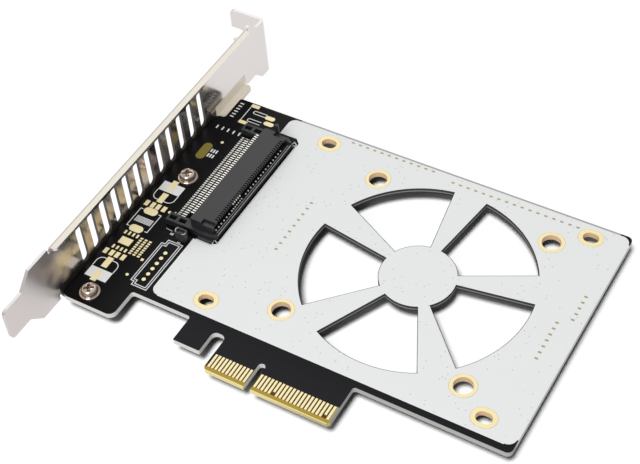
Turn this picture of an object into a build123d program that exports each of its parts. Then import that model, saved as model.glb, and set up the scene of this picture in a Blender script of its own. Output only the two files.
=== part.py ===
from build123d import *
import os
from math import copysign, cos, pi, radians, sin

# Slot card that carries a 2.5 inch drive: a circuit board with a fan grille, a drive connector,
# gold edge fingers and a folded mounting bracket. Sizes are in millimetres.
# X runs along the card away from the bracket, -Y towards the edge fingers, +Z out of the
# component side. The card's own coordinates start at the middle of the drive hole pattern, on
# the component face, and the frame's origin is the bottom centre of the whole card's box.

# Circuit board
board_thickness = 1.57
board_left = -72.5
board_right = 47.9
board_far = 35.5
board_near = -37.1
board_corner_radius = 1.5
lobe_right = -56.6
lobe_near = -46.0
lobe_corner_radius = 2.0
bracket_step_x = -69.9
bracket_step_y = 27.0
hook_left = -38.85
hook_width = 7.7
hook_near = -45.05
hook_corner_radius = 0.3
relief_slot_far = -38.3
inner_corner_radius = 0.8

# Edge connector of the board
key_x = -15.0
key_width = 1.9
key_far = -41.2
finger_pitch = 1.0
finger_width = 0.64
finger_far = -43.9
finger_bevel_margin = 0.05
short_finger_setback = 0.95
key_to_finger = 1.5
fingers_before_key = 11
fingers_after_key = 21
short_fingers_top = (16, 30)
short_fingers_bottom = (0, 16, 30)
tongue_near = -49.05
tongue_margin = 0.95
tongue_bevel_length = 1.05
tongue_bevel_depth = 0.2
tongue_corner_chamfer = 0.7
copper_thickness = 0.05

# Drive holes, fan holes and fan grille
drive_pitch_x = 76.6
drive_pitch_y = 61.72
drive_hole_width = 3.2
drive_hole_travel = 1.0
drive_ring_width = 1.2
fan_x = 5.1
fan_y = 0.0
fan_hole_pitch = 50.0
fan_hole_diameter = 5.0
fan_ring_width = 0.95
ring_sides = 20
plating_clearance = 0.02
grille_radius = 30.0
hub_radius = 10.05
grille_sectors = 5
spoke_angle = 18.0
first_spoke = 90.0

# White ink field
ink_thickness = 0.04
ink_near = -35.05
ink_far = 34.95
ink_left = -52.6
ink_right_margin = 0.35
ink_corner_radius = 2.2
ink_grille_margin = 0.15
ink_ring_margin = 0.05
ink_window_near = -15.1
ink_window_far = 28.5
ink_window_right = -45.75
ink_window_overrun = 1.0

# Drive connector housing
deck_height = 4.3
deck_rear = -54.7
deck_front = -47.8
lip_front = -46.6
connector_y = 6.15
deck_wall = 0.75
arm_width = 1.4
arm_height = 1.9
arm_front = -46.5
arm_corner_length = 1.8
arm_corner_width = 1.2
slot_floor = 1.3
slot_height = 2.1
slot_end_clearance = 0.45
slot_rear = -51.2
ear_rear = -61.95
ear_width = 2.85
ear_window_length = 2.1
ear_window_width = 1.35
ear_window_x = (-60.35, -57.35)
shoulder_length = 3.5
shoulder_width = 1.5
shoulder_drop = 0.75
shoulder_groove = 0.55
foot_length = 4.6
foot_width = 0.75
foot_height = 0.9
foot_x = -49.6
post_radius = 0.55
post_height = 6.1
post_x = -51.35
post_inset = 0.6
lip_groove_width = 0.35
lip_groove_depth = 0.5

# Connector contacts
contact_count = 41
contact_pitch = 0.8
contact_width = 0.36
contact_thickness = 0.2
comb_slot_width = 0.42
lead_exit_height = 3.4
lead_bend_x = -56.3
lead_foot_x = -58.4
lead_end_x = -60.7
upper_contact_front = -48.6
bright_contact_front = -47.95
bright_contacts = (9, 10, 11, 12, 13)
signal_contact_count = 7
signal_first_y = -11.05
power_contact_count = 15
power_first_y = 3.4
wide_contact_pitch = 1.27
middle_contact_count = 6
middle_first_y = -2.6
lower_contact_width = 0.5
lower_contact_front = -47.7

# Bracket
sheet = 0.86
bracket_face_x = -73.05
bracket_width = 18.42
tongue_width = 10.19
tongue_tip_y = -64.27
shoulder_y = -52.95
tab_shift = 3.18
tab_shift_start = 48.2
tab_outer_y = 55.75
tab_depth = 11.43
tab_corner_radius = 1.5
screw_slot_width = 4.42
screw_slot_depth = 4.8
screw_slot_from_edge = 8.5
bend_radius_inner = 0.35
top_flange_depth = 1.85
top_flange_near = -44.6
top_flange_far = 46.1
bottom_flange_depth = 2.3
bottom_flange_near = -45.0
bottom_flange_far = 42.6
relief_width = 1.0
relief_depth = 1.5
vent_count = 12
vent_pitch = 5.02
vent_first_y = -33.9
vent_width = 2.6
vent_bottom_z = 0.3
vent_length = 12.7
ear_reach = 10.4
ear_half_length = 4.6
ear_corner_radius = 2.0
pick_tolerance = 0.1

# Bracket screws
screw_x = -66.1
screw_y_near = -42.2
screw_y_far = 2.7
screw_diameter = 3.0
screw_clearance = 0.15
screw_head_diameter = 4.7
screw_head_height = 1.65
screw_length = 4.5
screw_rim_bevel = 0.55
screw_shank_diameter = 2.9
collar_thickness = 0.5

# Bare pads
capacitor_pad = (1.75, 3.55)
capacitor_pad_x = -68.0
capacitor_pad_y = (-36.95, -32.0, -6.75, -1.7)
small_pad = (1.2, 1.9)
small_pad_x = (-70.8, -68.9, -67.2, -65.3)
small_pad_y = (-28.8, -10.0)
inductor_pad = (4.1, 2.3)
inductor_pad_x = -68.05
inductor_pad_y = (-19.0, -12.25)
chip_x = -68.0
chip_y = -23.9
chip_pad = (3.5, 2.4)
chip_pin_pitch = 1.27
chip_pin_count = 4
chip_pin_pad = (0.6, 1.2)
chip_pin_row = 2.75
header_pad = (2.6, 1.2)
header_pad_x = -64.3
header_pad_y = (27.6, 34.5)
marker_pad = (0.8, 0.5)
marker_row_x = (-64.65, -63.3, -61.95)
marker_first_y = -26.8
marker_pitch = 0.79
marker_count = 8

# Derived places in the card's own coordinates
tongue_left = key_x - key_to_finger - (fingers_before_key - 1) * finger_pitch - tongue_margin
tongue_right = key_x + key_to_finger + (fingers_after_key - 1) * finger_pitch + tongue_margin
hook_right = hook_left + hook_width
bracket_bottom = -board_thickness - sheet
bracket_top = bracket_bottom + bracket_width
tab_top = bracket_top - tab_shift
tab_bottom = bracket_bottom - tab_shift
bracket_back_x = bracket_face_x - sheet
tab_free_x = bracket_face_x - tab_depth
bend_radius_outer = bend_radius_inner + sheet
sector_angle = 360.0 / grille_sectors - spoke_angle
drive_ring_outer = drive_hole_width + 2 * drive_ring_width
fan_ring_outer = fan_hole_diameter + 2 * fan_ring_width
ink_right = board_right - ink_right_margin
slot_half_width = (
    connector_y - signal_first_y + lower_contact_width / 2 + slot_end_clearance
)
deck_half_width = slot_half_width + deck_wall
arm_half_width = deck_half_width + arm_width
lead_foot_top = copper_thickness + contact_thickness

# The frame's origin is the bottom centre of the whole card's box
origin_x = (tab_free_x + board_right) / 2
origin_y = (tongue_tip_y + tab_outer_y) / 2
origin_z = tab_bottom
top_face = Plane(origin=(-origin_x, -origin_y, -origin_z))
under_face = top_face.offset(-board_thickness)

corner_signs = ((-1, -1), (-1, 1), (1, -1), (1, 1))
drive_places = [(sx * drive_pitch_x / 2, sy * drive_pitch_y / 2) for sx, sy in corner_signs]
fan_places = [
    (fan_x + sx * fan_hole_pitch / 2, fan_y + sy * fan_hole_pitch / 2) for sx, sy in corner_signs
]
screw_places = [(screw_x, screw_y_near), (screw_x, screw_y_far)]
finger_places = [
    key_x - key_to_finger - (fingers_before_key - 1 - i) * finger_pitch
    for i in range(fingers_before_key)
] + [key_x + key_to_finger + i * finger_pitch for i in range(fingers_after_key)]
contact_places = [
    connector_y + (i - (contact_count - 1) / 2) * contact_pitch for i in range(contact_count)
]


def across(y):
    """Plane across the card at y: its own x is the card's X, its own y is the card's Z."""
    return Plane(origin=top_face.from_local_coords((0, y, 0)), x_dir=(1, 0, 0), z_dir=(0, -1, 0))


def along(x):
    """Plane along the bracket at x: its own x is the card's Y, its own y is the card's Z."""
    return Plane(origin=top_face.from_local_coords((x, 0, 0)), x_dir=(0, 1, 0), z_dir=(1, 0, 0))


def block(left, near, right, far):
    """Rectangle in the open sketch from two corners."""
    with Locations(((left + right) / 2, (near + far) / 2)):
        Rectangle(right - left, far - near)


def cut_block(left, near, right, far):
    """Rectangular hole in the open sketch from two corners."""
    with Locations(((left + right) / 2, (near + far) / 2)):
        Rectangle(right - left, far - near, mode=Mode.SUBTRACT)


def grille_sector_sketch(margin):
    """Openings between the spokes, grown by a margin, as a private sketch."""
    outer = grille_radius
    inner = hub_radius
    with BuildSketch(mode=Mode.PRIVATE) as sectors:
        with Locations((fan_x, fan_y)):
            with PolarLocations(0, grille_sectors, start_angle=first_spoke + spoke_angle / 2):
                with BuildSketch(mode=Mode.PRIVATE) as one:
                    end = radians(sector_angle)
                    middle = radians(sector_angle / 2)
                    with BuildLine():
                        Line((inner, 0), (outer, 0))
                        ThreePointArc(
                            (outer, 0),
                            (outer * cos(middle), outer * sin(middle)),
                            (outer * cos(end), outer * sin(end)),
                        )
                        Line(
                            (outer * cos(end), outer * sin(end)),
                            (inner * cos(end), inner * sin(end)),
                        )
                        ThreePointArc(
                            (inner * cos(end), inner * sin(end)),
                            (inner * cos(middle), inner * sin(middle)),
                            (inner, 0),
                        )
                    make_face()
                    if margin > 0:
                        offset(amount=margin, kind=Kind.INTERSECTION)
                add(one.sketch)
    return sectors.sketch


def ring_outline(width, travel, places, mode):
    """Outer outline of plated rings in the open sketch, round or oblong, with few sides."""
    step = 2 * pi / ring_sides
    corners = [
        (width / 2 * cos(angle) + copysign(travel / 2, cos(angle)), width / 2 * sin(angle))
        for angle in ((i + 0.5) * step for i in range(ring_sides))
    ]
    with Locations(*places):
        Polygon(*corners, align=None, mode=mode)


def plated_ring(outer_width, hole_width, travel, places):
    """Plated holes: gold from face to face, standing proud of both faces of the board."""
    with BuildSketch(under_face.offset(-copper_thickness)) as ring:
        ring_outline(outer_width, travel, places, Mode.ADD)
        with Locations(*places):
            if travel > 0:
                SlotCenterToCenter(travel, hole_width, mode=Mode.SUBTRACT)
            else:
                Circle(hole_width / 2, mode=Mode.SUBTRACT)
    extrude(ring.sketch, amount=board_thickness + 2 * copper_thickness)


def pads(size, places, ends_round=False):
    """Flat gold pads on the component face."""
    with BuildSketch(top_face) as pad_layer:
        with Locations(*places):
            if ends_round:
                SlotOverall(size[0], size[1])
            else:
                Rectangle(size[0], size[1])
    extrude(pad_layer.sketch, amount=copper_thickness)


# Circuit board
with BuildPart() as circuit_board:
    with BuildSketch(under_face) as board_outline:
        with BuildLine():
            Polyline(
                (board_left, lobe_near),
                (lobe_right, lobe_near),
                (lobe_right, board_near),
                (hook_left, board_near),
                (hook_left, hook_near),
                (hook_right, hook_near),
                (hook_right, relief_slot_far),
                (tongue_left, relief_slot_far),
                (tongue_left, tongue_near),
                (tongue_right, tongue_near),
                (tongue_right, board_near),
                (board_right, board_near),
                (board_right, board_far),
                (bracket_step_x, board_far),
                (bracket_step_x, bracket_step_y),
                (board_left, bracket_step_y),
                close=True,
            )
        make_face()
        corners = board_outline.vertices()
        rounded = {
            lobe_corner_radius: ((board_left, lobe_near), (lobe_right, lobe_near)),
            inner_corner_radius: (
                (lobe_right, board_near),
                (hook_left, board_near),
                (tongue_right, board_near),
                (bracket_step_x, bracket_step_y),
                (bracket_step_x, board_far),
            ),
            hook_corner_radius: ((hook_left, hook_near), (hook_right, hook_near)),
            board_corner_radius: (
                (board_right, board_near),
                (board_right, board_far),
                (board_left, bracket_step_y),
                (hook_right, relief_slot_far),
                (tongue_left, relief_slot_far),
            ),
        }
        for radius, places in rounded.items():
            for place in places:
                nearest = board_outline.vertices().sort_by_distance((*place, 0))[0]
                fillet(nearest, radius=radius)
        for x in (tongue_left, tongue_right):
            nearest = board_outline.vertices().sort_by_distance((x, tongue_near, 0))[0]
            chamfer(nearest, length=tongue_corner_chamfer)
        with Locations((key_x, tongue_near)):
            SlotOverall(2 * (key_far - tongue_near), key_width, rotation=90, mode=Mode.SUBTRACT)
        drive_cut = drive_ring_outer + 2 * plating_clearance
        fan_cut = fan_ring_outer + 2 * plating_clearance
        ring_outline(drive_cut, drive_hole_travel, drive_places, Mode.SUBTRACT)
        ring_outline(fan_cut, 0, fan_places, Mode.SUBTRACT)
        with Locations(*screw_places):
            Circle(screw_diameter / 2 + screw_clearance, mode=Mode.SUBTRACT)
        add(grille_sector_sketch(0), mode=Mode.SUBTRACT)
    extrude(amount=board_thickness)
    with BuildSketch(along(tongue_left)):
        for face_z, way in ((0, -1), (-board_thickness, 1)):
            with BuildLine():
                Polyline(
                    (tongue_near, face_z),
                    (tongue_near + tongue_bevel_length, face_z),
                    (tongue_near, face_z + way * tongue_bevel_depth),
                    close=True,
                )
            make_face()
    extrude(amount=tongue_right - tongue_left, mode=Mode.SUBTRACT)
circuit_board.part.label = "circuit_board"

# White ink field: a thin coat over the drive area, open at the holes, grille and connector
with BuildPart() as white_ink_field:
    with BuildSketch(top_face) as ink_outline:
        block(ink_left, ink_near, ink_right, ink_far)
        fillet(ink_outline.vertices(), radius=ink_corner_radius)
        cut_block(ink_left - ink_window_overrun, ink_window_near, ink_window_right, ink_window_far)
        window_corners = ink_outline.vertices().filter_by(
            lambda corner: abs(corner.X - ink_window_right) < copper_thickness
        )
        chamfer(window_corners, length=board_corner_radius)
        drive_cut = drive_ring_outer + 2 * ink_ring_margin
        fan_cut = fan_ring_outer + 2 * ink_ring_margin
        ring_outline(drive_cut, drive_hole_travel, drive_places, Mode.SUBTRACT)
        ring_outline(fan_cut, 0, fan_places, Mode.SUBTRACT)
        add(grille_sector_sketch(ink_grille_margin), mode=Mode.SUBTRACT)
    extrude(amount=ink_thickness)
white_ink_field.part.label = "white_ink_field"


def finger_row(plane, short_ones):
    """Gold fingers on one face of the tongue, with the sense fingers set back from the edge."""
    near = tongue_near + tongue_bevel_length + finger_bevel_margin
    with BuildSketch(plane) as row:
        for index, x in enumerate(finger_places):
            start = near + short_finger_setback if index in short_ones else near
            block(x - finger_width / 2, start, x + finger_width / 2, finger_far)
    extrude(row.sketch, amount=copper_thickness)


with BuildPart() as edge_fingers_top:
    finger_row(top_face, short_fingers_top)
edge_fingers_top.part.label = "edge_fingers_top"

with BuildPart() as edge_fingers_bottom:
    finger_row(under_face.offset(-copper_thickness), short_fingers_bottom)
edge_fingers_bottom.part.label = "edge_fingers_bottom"

with BuildPart() as drive_hole_rings:
    plated_ring(drive_ring_outer, drive_hole_width, drive_hole_travel, drive_places)
drive_hole_rings.part.label = "drive_hole_rings"

with BuildPart() as fan_hole_rings:
    plated_ring(fan_ring_outer, fan_hole_diameter, 0, fan_places)
fan_hole_rings.part.label = "fan_hole_rings"

with BuildPart() as marker_pads:
    marker_places = [
        (x, marker_first_y + i * marker_pitch) for x in marker_row_x for i in range(marker_count)
    ]
    pads(marker_pad, marker_places)
marker_pads.part.label = "marker_pads"

with BuildPart() as capacitor_pads:
    pads(capacitor_pad, [(capacitor_pad_x, y) for y in capacitor_pad_y])
capacitor_pads.part.label = "capacitor_pads"

with BuildPart() as small_pads:
    pads(small_pad, [(x, y) for y in small_pad_y for x in small_pad_x])
small_pads.part.label = "small_pads"

with BuildPart() as inductor_pads:
    pads(inductor_pad, [(inductor_pad_x, y) for y in inductor_pad_y], ends_round=True)
inductor_pads.part.label = "inductor_pads"

with BuildPart() as chip_heat_pad:
    pads(chip_pad, [(chip_x, chip_y)])
chip_heat_pad.part.label = "chip_heat_pad"

with BuildPart() as chip_pin_pads:
    chip_pin_places = [
        (chip_x + (i - (chip_pin_count - 1) / 2) * chip_pin_pitch, chip_y + side * chip_pin_row)
        for side in (-1, 1)
        for i in range(chip_pin_count)
    ]
    pads(chip_pin_pad, chip_pin_places)
chip_pin_pads.part.label = "chip_pin_pads"

with BuildPart() as header_pads:
    pads(header_pad, [(header_pad_x, y) for y in header_pad_y])
header_pads.part.label = "header_pads"

# Connector housing: a low frame with side arms and rear ears under a higher deck, open in front
with BuildPart() as connector_housing:
    with BuildSketch(top_face):
        block(
            deck_rear,
            connector_y - deck_half_width,
            deck_front,
            connector_y + deck_half_width,
        )
    extrude(amount=deck_height)
    with BuildSketch(top_face):
        block(
            slot_rear,
            connector_y - deck_half_width,
            lip_front,
            connector_y + deck_half_width,
        )
    extrude(amount=slot_floor)
    for side in (-1, 1):
        inner_y = connector_y + side * deck_half_width
        outer_y = connector_y + side * arm_half_width
        with BuildSketch(top_face):
            with BuildLine():
                Polyline(
                    (deck_rear, inner_y),
                    (deck_rear, outer_y),
                    (arm_front - arm_corner_length, outer_y),
                    (arm_front, outer_y - side * arm_corner_width),
                    (arm_front, inner_y),
                    close=True,
                )
            make_face()
        extrude(amount=arm_height)
        ear_inner_y = outer_y - side * ear_width
        with BuildSketch(top_face):
            block(ear_rear, min(outer_y, ear_inner_y), deck_rear, max(outer_y, ear_inner_y))
            for window_x in ear_window_x:
                with Locations((window_x, (outer_y + ear_inner_y) / 2)):
                    Rectangle(ear_window_length, ear_window_width, mode=Mode.SUBTRACT)
        extrude(amount=arm_height)
        shoulder_y_mid = connector_y + side * (deck_half_width - shoulder_width / 2)
        with BuildSketch(top_face.offset(deck_height - shoulder_drop)):
            with Locations((deck_front - shoulder_length / 2, shoulder_y_mid)):
                Rectangle(shoulder_length, shoulder_width)
        extrude(amount=shoulder_drop, mode=Mode.SUBTRACT)
    with BuildSketch(top_face):
        with Locations((foot_x, connector_y - arm_half_width)):
            SlotOverall(foot_length, 2 * foot_width)
    extrude(amount=foot_height)
    with BuildSketch(top_face):
        with Locations((post_x, connector_y + arm_half_width - post_inset)):
            Circle(post_radius)
    extrude(amount=post_height)
    with BuildSketch(top_face.offset(slot_floor)):
        block(
            slot_rear,
            connector_y - slot_half_width,
            lip_front,
            connector_y + slot_half_width,
        )
    extrude(amount=slot_height, mode=Mode.SUBTRACT)
    slot_roof = slot_floor + slot_height
    with BuildSketch(top_face.offset(slot_roof)):
        with Locations(*[(deck_front, y) for y in contact_places]):
            Rectangle(2 * (deck_front - upper_contact_front), comb_slot_width)
    extrude(amount=deck_height - slot_roof, mode=Mode.SUBTRACT)
    with BuildSketch(top_face.offset(slot_floor)):
        with Locations((lip_front - 2 * lip_groove_width, connector_y)):
            Rectangle(lip_groove_width, 2 * slot_half_width)
    extrude(amount=-lip_groove_depth, mode=Mode.SUBTRACT)
connector_housing.part.label = "connector_housing"

# Leads: from the rear of the deck, down to a foot on each pad
with BuildPart() as connector_leads:
    for y in contact_places:
        with BuildSketch(across(y + contact_width / 2)):
            with BuildLine():
                Polyline(
                    (deck_rear, lead_exit_height),
                    (lead_bend_x, lead_exit_height),
                    (lead_foot_x, lead_foot_top),
                    (lead_end_x, lead_foot_top),
                    (lead_end_x, copper_thickness),
                    (lead_foot_x + contact_thickness, copper_thickness),
                    (lead_bend_x + contact_thickness, lead_exit_height - contact_thickness),
                    (deck_rear, lead_exit_height - contact_thickness),
                    close=True,
                )
            make_face()
        extrude(amount=contact_width)
connector_leads.part.label = "connector_leads"

# Contact strips on the roof of the slot, seen through the comb in the deck's front edge
with BuildPart() as upper_contacts:
    with BuildSketch(top_face.offset(slot_roof - contact_thickness)):
        for index, y in enumerate(contact_places):
            front = bright_contact_front if index in bright_contacts else upper_contact_front
            block(slot_rear, y - contact_width / 2, front, y + contact_width / 2)
    extrude(amount=contact_thickness)
upper_contacts.part.label = "upper_contacts"

# Contact strips on the floor of the slot, in the signal, middle and power groups
with BuildPart() as lower_contacts:
    lower_places = [signal_first_y + i * wide_contact_pitch for i in range(signal_contact_count)]
    lower_places += [middle_first_y + i * contact_pitch for i in range(middle_contact_count)]
    lower_places += [power_first_y + i * wide_contact_pitch for i in range(power_contact_count)]
    with BuildSketch(top_face.offset(slot_floor)):
        for y in lower_places:
            half = lower_contact_width / 2
            block(slot_rear, y - half, lower_contact_front, y + half)
    extrude(amount=contact_thickness)
lower_contacts.part.label = "lower_contacts"

# Bracket: one folded sheet. A flat plate with a narrow tongue, a screw tab turned outwards, and
# two flanges turned inwards, the lower one with two ears under the board
with BuildPart() as bracket:
    tongue_low = bracket_bottom + (bracket_width - tongue_width) / 2
    tongue_high = tongue_low + tongue_width
    shoulder_run = (bracket_width - tongue_width) / 2
    with BuildSketch(along(bracket_back_x)) as plate_outline:
        with BuildLine():
            Polyline(
                (shoulder_y, bracket_bottom),
                (tab_shift_start, bracket_bottom),
                (tab_shift_start + tab_shift, tab_bottom),
                (tab_outer_y, tab_bottom),
                (tab_outer_y, tab_top),
                (tab_shift_start + tab_shift, tab_top),
                (tab_shift_start, bracket_top),
                (shoulder_y, bracket_top),
                (shoulder_y - shoulder_run, tongue_high),
                (tongue_tip_y, tongue_high),
                (tongue_tip_y, tongue_low),
                (shoulder_y - shoulder_run, tongue_low),
                close=True,
            )
        make_face()
        tip_corners = plate_outline.vertices().sort_by(Axis.X)[:2]
        fillet(tip_corners, radius=tab_corner_radius)
        for index in range(vent_count):
            with Locations((vent_first_y + index * vent_pitch, vent_bottom_z + vent_length / 2)):
                SlotOverall(vent_length, vent_width, rotation=90, mode=Mode.SUBTRACT)
    extrude(amount=sheet)

    # Screw tab
    with BuildSketch(top_face.offset(tab_bottom)):
        block(tab_free_x, tab_outer_y - sheet, bracket_face_x, tab_outer_y)
    extrude(amount=bracket_width)

    # Flange along the upper edge
    with BuildSketch(top_face.offset(bracket_top - sheet)) as top_flange:
        block(bracket_back_x, top_flange_near, bracket_face_x + top_flange_depth, top_flange_far)
        free_corners = top_flange.vertices().sort_by(Axis.X)[-2:]
        fillet(free_corners, radius=bend_radius_outer)
    extrude(amount=sheet)

    # Flange along the lower edge, with ears that carry the board
    with BuildSketch(top_face.offset(bracket_bottom)) as bottom_flange:
        flange_edge_x = bracket_face_x + bottom_flange_depth
        block(bracket_back_x, bottom_flange_near, flange_edge_x, bottom_flange_far)
        free_corners = bottom_flange.vertices().sort_by(Axis.X)[-2:]
        fillet(free_corners, radius=bend_radius_outer)
        for x, y in screw_places:
            ear_near = max(y - ear_half_length, bottom_flange_near + bend_radius_outer)
            block(bracket_face_x, ear_near, bracket_face_x + ear_reach, y + ear_half_length)
        ear_corners = bottom_flange.vertices().filter_by(
            lambda corner: corner.X > flange_edge_x + ear_corner_radius
        )
        fillet(ear_corners, radius=ear_corner_radius)
        with Locations(*screw_places):
            Circle(screw_diameter / 2, mode=Mode.SUBTRACT)
    extrude(amount=sheet)

    # Relief cuts at the ends of both flanges
    relief_cuts = (
        (top_flange_near - relief_width, bracket_top - relief_depth),
        (top_flange_far, bracket_top - relief_depth),
        (bottom_flange_near - relief_width, bracket_bottom),
        (bottom_flange_far, bracket_bottom),
    )
    with BuildSketch(along(bracket_back_x)):
        for near, low in relief_cuts:
            block(near, low, near + relief_width, low + relief_depth)
    extrude(amount=sheet, mode=Mode.SUBTRACT)

    # Rounded bends of the tab and of both flanges
    def bend_edges(axis, x, other, other_axis):
        """Straight edges along one axis at card x and at one other card coordinate."""
        def on_line(edge):
            middle = top_face.to_local_coords(edge.center())
            value = middle.Y if other_axis == "y" else middle.Z
            return abs(middle.X - x) < pick_tolerance and abs(value - other) < pick_tolerance
        return bracket.edges().filter_by(axis).filter_by(on_line)

    fillet(bend_edges(Axis.Z, bracket_face_x, tab_outer_y, "y"), radius=bend_radius_outer)
    fillet(bend_edges(Axis.Y, bracket_back_x, bracket_top, "z").sort_by(SortBy.LENGTH)[-1],
           radius=bend_radius_outer)
    fillet(bend_edges(Axis.Y, bracket_back_x, bracket_bottom, "z").sort_by(SortBy.LENGTH)[-1],
           radius=bend_radius_outer)
    fillet(bend_edges(Axis.Z, bracket_back_x, tab_outer_y - sheet, "y"), radius=bend_radius_inner)
    fillet(bend_edges(Axis.Y, bracket_face_x, bracket_top - sheet, "z"), radius=bend_radius_inner)
    fillet(bend_edges(Axis.Y, bracket_face_x, bracket_bottom + sheet, "z"),
           radius=bend_radius_inner)

    # Screw notch and rounded corners of the tab
    with BuildSketch(across(tab_outer_y)):
        notch_z = tab_top - screw_slot_from_edge
        with Locations((tab_free_x, notch_z)):
            SlotOverall(2 * screw_slot_depth, screw_slot_width)
    extrude(amount=sheet, mode=Mode.SUBTRACT)
    tab_corners = bracket.edges().filter_by(Axis.Y).filter_by(
        lambda edge: abs(edge.center().X + origin_x - tab_free_x) < pick_tolerance
        and abs(edge.center().Z + origin_z - notch_z) > screw_slot_width
    )
    fillet(tab_corners, radius=tab_corner_radius)
bracket.part.label = "bracket"

# Bracket screws: pan heads on a collar's height, through the board into the lower flange's ears
with BuildPart() as bracket_screws:
    with BuildSketch(top_face):
        with Locations(*screw_places):
            Circle(screw_head_diameter / 2)
    extrude(amount=collar_thickness + screw_head_height)
    rims = bracket_screws.edges().filter_by(GeomType.CIRCLE).group_by(Axis.Z)[-1]
    chamfer(rims, length=screw_rim_bevel)
    with BuildSketch(top_face):
        with Locations(*screw_places):
            Circle(screw_shank_diameter / 2)
    extrude(amount=-screw_length)
bracket_screws.part.label = "bracket_screws"

pieces = (
    circuit_board,
    white_ink_field,
    edge_fingers_top,
    edge_fingers_bottom,
    drive_hole_rings,
    fan_hole_rings,
    marker_pads,
    capacitor_pads,
    small_pads,
    inductor_pads,
    chip_heat_pad,
    chip_pin_pads,
    header_pads,
    connector_housing,
    connector_leads,
    upper_contacts,
    lower_contacts,
    bracket,
    bracket_screws,
)
os.makedirs("parts", exist_ok=True)
for piece in pieces:
    export_step(piece.part, f"parts/{piece.part.label}.step")
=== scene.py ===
"""Looks of the drive adapter card: finishes for its solids, small printed and plated pieces,
and the stage around them."""

import bmesh
import bpy
import numpy as np
from bpy.props import FloatProperty, FloatVectorProperty, IntProperty, PointerProperty
from mathutils import Matrix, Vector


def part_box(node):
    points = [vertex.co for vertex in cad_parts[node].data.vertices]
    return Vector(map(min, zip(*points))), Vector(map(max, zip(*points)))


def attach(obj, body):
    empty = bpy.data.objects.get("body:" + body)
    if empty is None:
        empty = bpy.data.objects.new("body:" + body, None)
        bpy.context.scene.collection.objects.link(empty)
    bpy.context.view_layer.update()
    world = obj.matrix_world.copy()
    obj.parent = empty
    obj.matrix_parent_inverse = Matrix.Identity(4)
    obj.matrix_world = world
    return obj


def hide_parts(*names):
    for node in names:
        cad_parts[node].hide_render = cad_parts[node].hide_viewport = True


bl_info = {
    "name": "Adapter Card Looks",
    "version": (1, 0, 0),
    "blender": (4, 5, 0),
    "location": "3D View > Sidebar > Card",
    "description": "Dresses the packed adapter card and sets the studio around it",
    "category": "Add Mesh",
}

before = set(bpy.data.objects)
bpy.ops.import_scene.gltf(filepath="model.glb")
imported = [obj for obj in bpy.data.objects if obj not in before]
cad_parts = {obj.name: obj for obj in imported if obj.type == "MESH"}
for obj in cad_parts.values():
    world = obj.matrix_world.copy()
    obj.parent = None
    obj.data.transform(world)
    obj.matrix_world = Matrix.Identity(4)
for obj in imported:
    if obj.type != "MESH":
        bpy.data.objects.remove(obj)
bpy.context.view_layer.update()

# The card's own coordinates are millimetres from the middle of the drive hole pattern, on the
# component face. The board's box says where that point lies in the frame.
MM = 0.001
BOARD_LEFT = -72.5
BOARD_FAR = 35.5
BOARD_THICKNESS = 1.57
BOARD_LOW, BOARD_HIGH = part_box("circuit_board")
CARD_ORIGIN = np.array(
    [
        BOARD_LOW.x - BOARD_LEFT * MM,
        BOARD_HIGH.y - BOARD_FAR * MM,
        BOARD_LOW.z + BOARD_THICKNESS * MM,
    ]
)


def to_frame(points):
    """Card coordinates in millimetres as frame coordinates in metres."""
    return np.asarray(points, float) * MM + CARD_ORIGIN


def from_frame(point):
    """A point of the frame, in metres, in card millimetres."""
    return (np.array(point) - CARD_ORIGIN) / MM


BODY = "root"
FAN_CENTRE = (5.1, 0.0)
GRILLE_RADIUS = 30.0
SCREW_PLACES = ((-66.1, -42.2), (-66.1, 2.7))
SMALL_PART_CENTRE = (-55.15, -16.5)
LEAD_COUNT = 41

# The tongue: its sides, and where its fingers and its bevel begin
TONGUE_LEFT = -35.0
TONGUE_RIGHT = from_frame(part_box("edge_fingers_top")[1])[0] + 0.4
GAPS_LEFT = -30.0
FINGERS_FAR = -43.8
BEVEL_FAR = -48.0

# The white field: its middle, and half of each straight edge
INK_MIDDLE_X, INK_MIDDLE_Y = -2.5, -0.05
INK_STRAIGHT_X, INK_STRAIGHT_Y = 47.8, 32.8

# Middle and half width of the bracket's row of vents, along it and upward
VENTS_Y = (-6.3, 31.0)
VENTS_Z = (6.65, 6.7)

# Bands across the leads that lie in shade: middle and half width
LEAD_SHADES = ((-60.05, 0.22), (-58.3, 0.3), (-56.5, 0.28))

# Depths of surface grain, and the distance under which points are welded, in metres
FINE_RELIEF = 0.00002
SHEET_RELIEF = 0.00001
WELD = 1e-7


# ---- meshes ----


def grid_mesh(name, grids, smooth):
    """Mesh of closed surfaces on grids of shape (pieces, rows, columns, 3), in card millimetres.
    Each row closes on itself; first and last rows that are points become poles."""
    pieces, rows, columns, _ = grids.shape
    corner = np.arange(pieces * rows * columns).reshape(pieces, rows, columns)
    beside = np.roll(corner, -1, axis=2)
    faces = np.stack(
        [corner[:, :-1], beside[:, :-1], beside[:, 1:], corner[:, 1:]], axis=-1
    ).reshape(-1, 4)
    mesh = bpy.data.meshes.new(name)
    mesh.from_pydata(to_frame(grids.reshape(-1, 3)), [], faces)
    work = bmesh.new()
    work.from_mesh(mesh)
    bmesh.ops.remove_doubles(work, verts=work.verts, dist=WELD)
    bmesh.ops.dissolve_degenerate(work, edges=work.edges, dist=WELD / 10)
    bmesh.ops.recalc_face_normals(work, faces=work.faces)
    work.to_mesh(mesh)
    work.free()
    mesh.polygons.foreach_set("use_smooth", np.full(len(mesh.polygons), smooth))
    return mesh


def place_piece(name, mesh, material):
    """Makes a mesh an object that rides on the body and its material."""
    mesh.materials.append(material)
    piece = bpy.data.objects.new(name, mesh)
    bpy.context.scene.collection.objects.link(piece)
    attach(piece, BODY)
    return piece


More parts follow.
